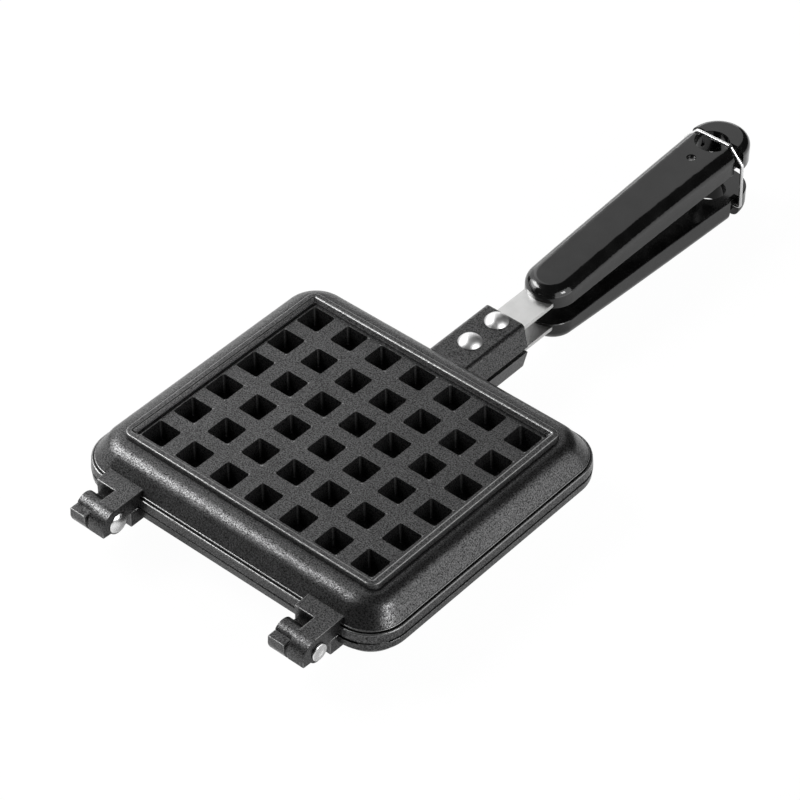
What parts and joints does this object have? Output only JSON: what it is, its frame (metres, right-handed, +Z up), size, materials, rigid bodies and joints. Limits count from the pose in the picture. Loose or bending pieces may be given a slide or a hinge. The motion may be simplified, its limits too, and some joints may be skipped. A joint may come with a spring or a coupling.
{
  "type": "stovetop waffle iron",
  "caption": "Hinged stovetop waffle iron with square waffle plates, riveted steel tangs, long moulded grips and a wire latch.",
  "frame": {"origin": "centre of the plates, in the plane of the lower plate's raised ridge, on which the iron rests", "axes": "+X along the hinge line, +Y from the hinge to the handles, +Z up out of the closed lid"},
  "size_m": [0.157, 0.3458, 0.0396],
  "materials": {
    "coated_casting": "die-cast aluminium with a black speckled non-stick coating",
    "steel_strip": "satin rolled steel strip",
    "bright_steel": "bright plated steel",
    "steel_wire": "bright spring wire",
    "black_grip": "glossy black phenolic moulding"
  },
  "bodies": {
    "base": {"lower_plate": "coated_casting", "lower_tang": "steel_strip", "lower_lug_rivet_front": "bright_steel", "lower_lug_rivet_rear": "bright_steel", "lower_handle": "black_grip", "lower_handle_pin": "bright_steel", "left_hinge_pin": "bright_steel", "right_hinge_pin": "bright_steel"},
    "lid": {"upper_plate": "coated_casting", "upper_tang": "steel_strip", "upper_lug_rivet_front": "bright_steel", "upper_lug_rivet_rear": "bright_steel", "upper_handle": "black_grip", "upper_handle_pin": "bright_steel"},
    "bail": {"latch_bail": "steel_wire"}
  },
  "joints": [
    {"name": "lid_hinge", "type": "hinge", "parent": "base", "child": "lid", "pos_m": [0, -0.0815, 0.0167], "axis": [1, 0, 0], "range_deg": [0, 119]},
    {"name": "bail_swing", "type": "hinge", "parent": "base", "child": "bail", "pos_m": [0, 0.2433, 0.0052], "axis": [-1, 0, 0], "range_deg": [0, 250]}
  ]
}
